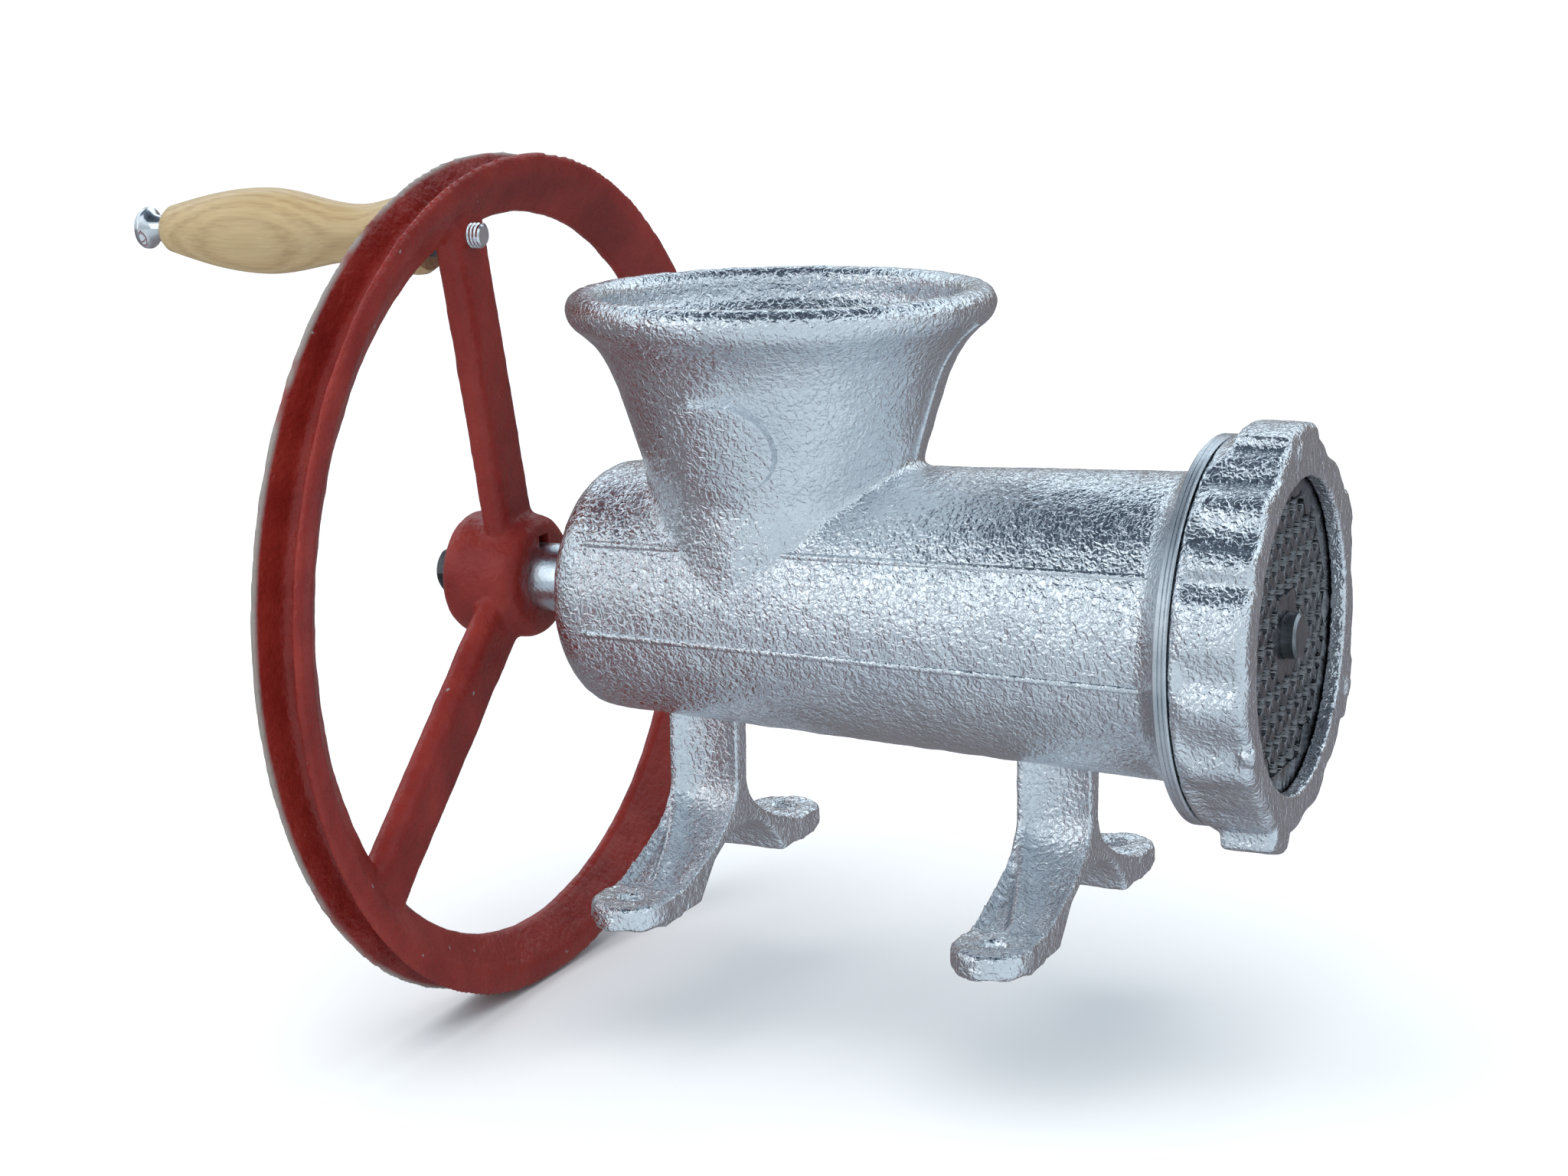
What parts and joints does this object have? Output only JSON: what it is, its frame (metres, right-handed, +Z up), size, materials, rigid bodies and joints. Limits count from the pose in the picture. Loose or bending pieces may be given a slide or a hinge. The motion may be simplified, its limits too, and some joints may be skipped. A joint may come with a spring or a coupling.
{
  "type": "hand crank meat grinder",
  "caption": "Bench-edge meat grinder with a flared hopper, spoked belt wheel with crank handle, worm, knife, perforated plate and lugged ring nut.",
  "frame": {"origin": "centre of the four foot holes, on the face that the feet stand on", "axes": "+X along the worm axis towards the cutting plate, +Y to the far side, +Z up"},
  "size_m": [0.3811, 0.271, 0.271],
  "materials": {
    "tinned_iron": "bright hot-dip tin over sand-cast iron",
    "red_paint": "red oxide primer over cast iron",
    "tool_steel": "ground dark steel",
    "zinc_steel": "zinc plated",
    "chrome": "polished",
    "wood": "turned, thin varnish",
    "bronze": "bored bush",
    "fibre": "vulcanised fibre"
  },
  "bodies": {
    "housing": {"body_casting": "tinned_iron", "rear_bushing": "bronze", "plate_key_pin": "tool_steel"},
    "rotor": {"worm": "tinned_iron", "worm_stud": "tool_steel", "thrust_washer": "fibre", "knife": "tool_steel", "shaft_key": "tool_steel", "wheel": "red_paint", "end_washer": "zinc_steel", "spring_washer": "zinc_steel", "wheel_bolt": "tool_steel", "handle_bolt": "chrome", "handle_lock_nut": "tool_steel"},
    "grip": {"handle_grip": "wood"},
    "plate": {"perforated_plate": "tool_steel"},
    "nut": {"ring_nut": "tinned_iron"}
  },
  "joints": [
    {"name": "crank_turn", "type": "hinge", "parent": "housing", "child": "rotor", "pos_m": [0, 0, 0.093], "axis": [1, 0, 0], "continuous": true},
    {"name": "grip_spin", "type": "hinge", "parent": "rotor", "child": "grip", "pos_m": [-0.19, -0.02587, 0.20505], "axis": [1, 0, 0], "continuous": true},
    {"name": "plate_slide", "type": "slide", "parent": "housing", "child": "plate", "axis": [1, 0, 0], "range_m": [0, 0.01205]},
    {"name": "ring_nut_turn", "type": "hinge", "parent": "plate", "child": "nut", "pos_m": [0.12, 0, 0.093], "axis": [1, 0, 0], "range_deg": [0, 1080]}
  ],
  "couplings": [
    {"joint": "plate_slide", "follows": "ring_nut_turn", "m_per_rad": 0.00063662}
  ]
}
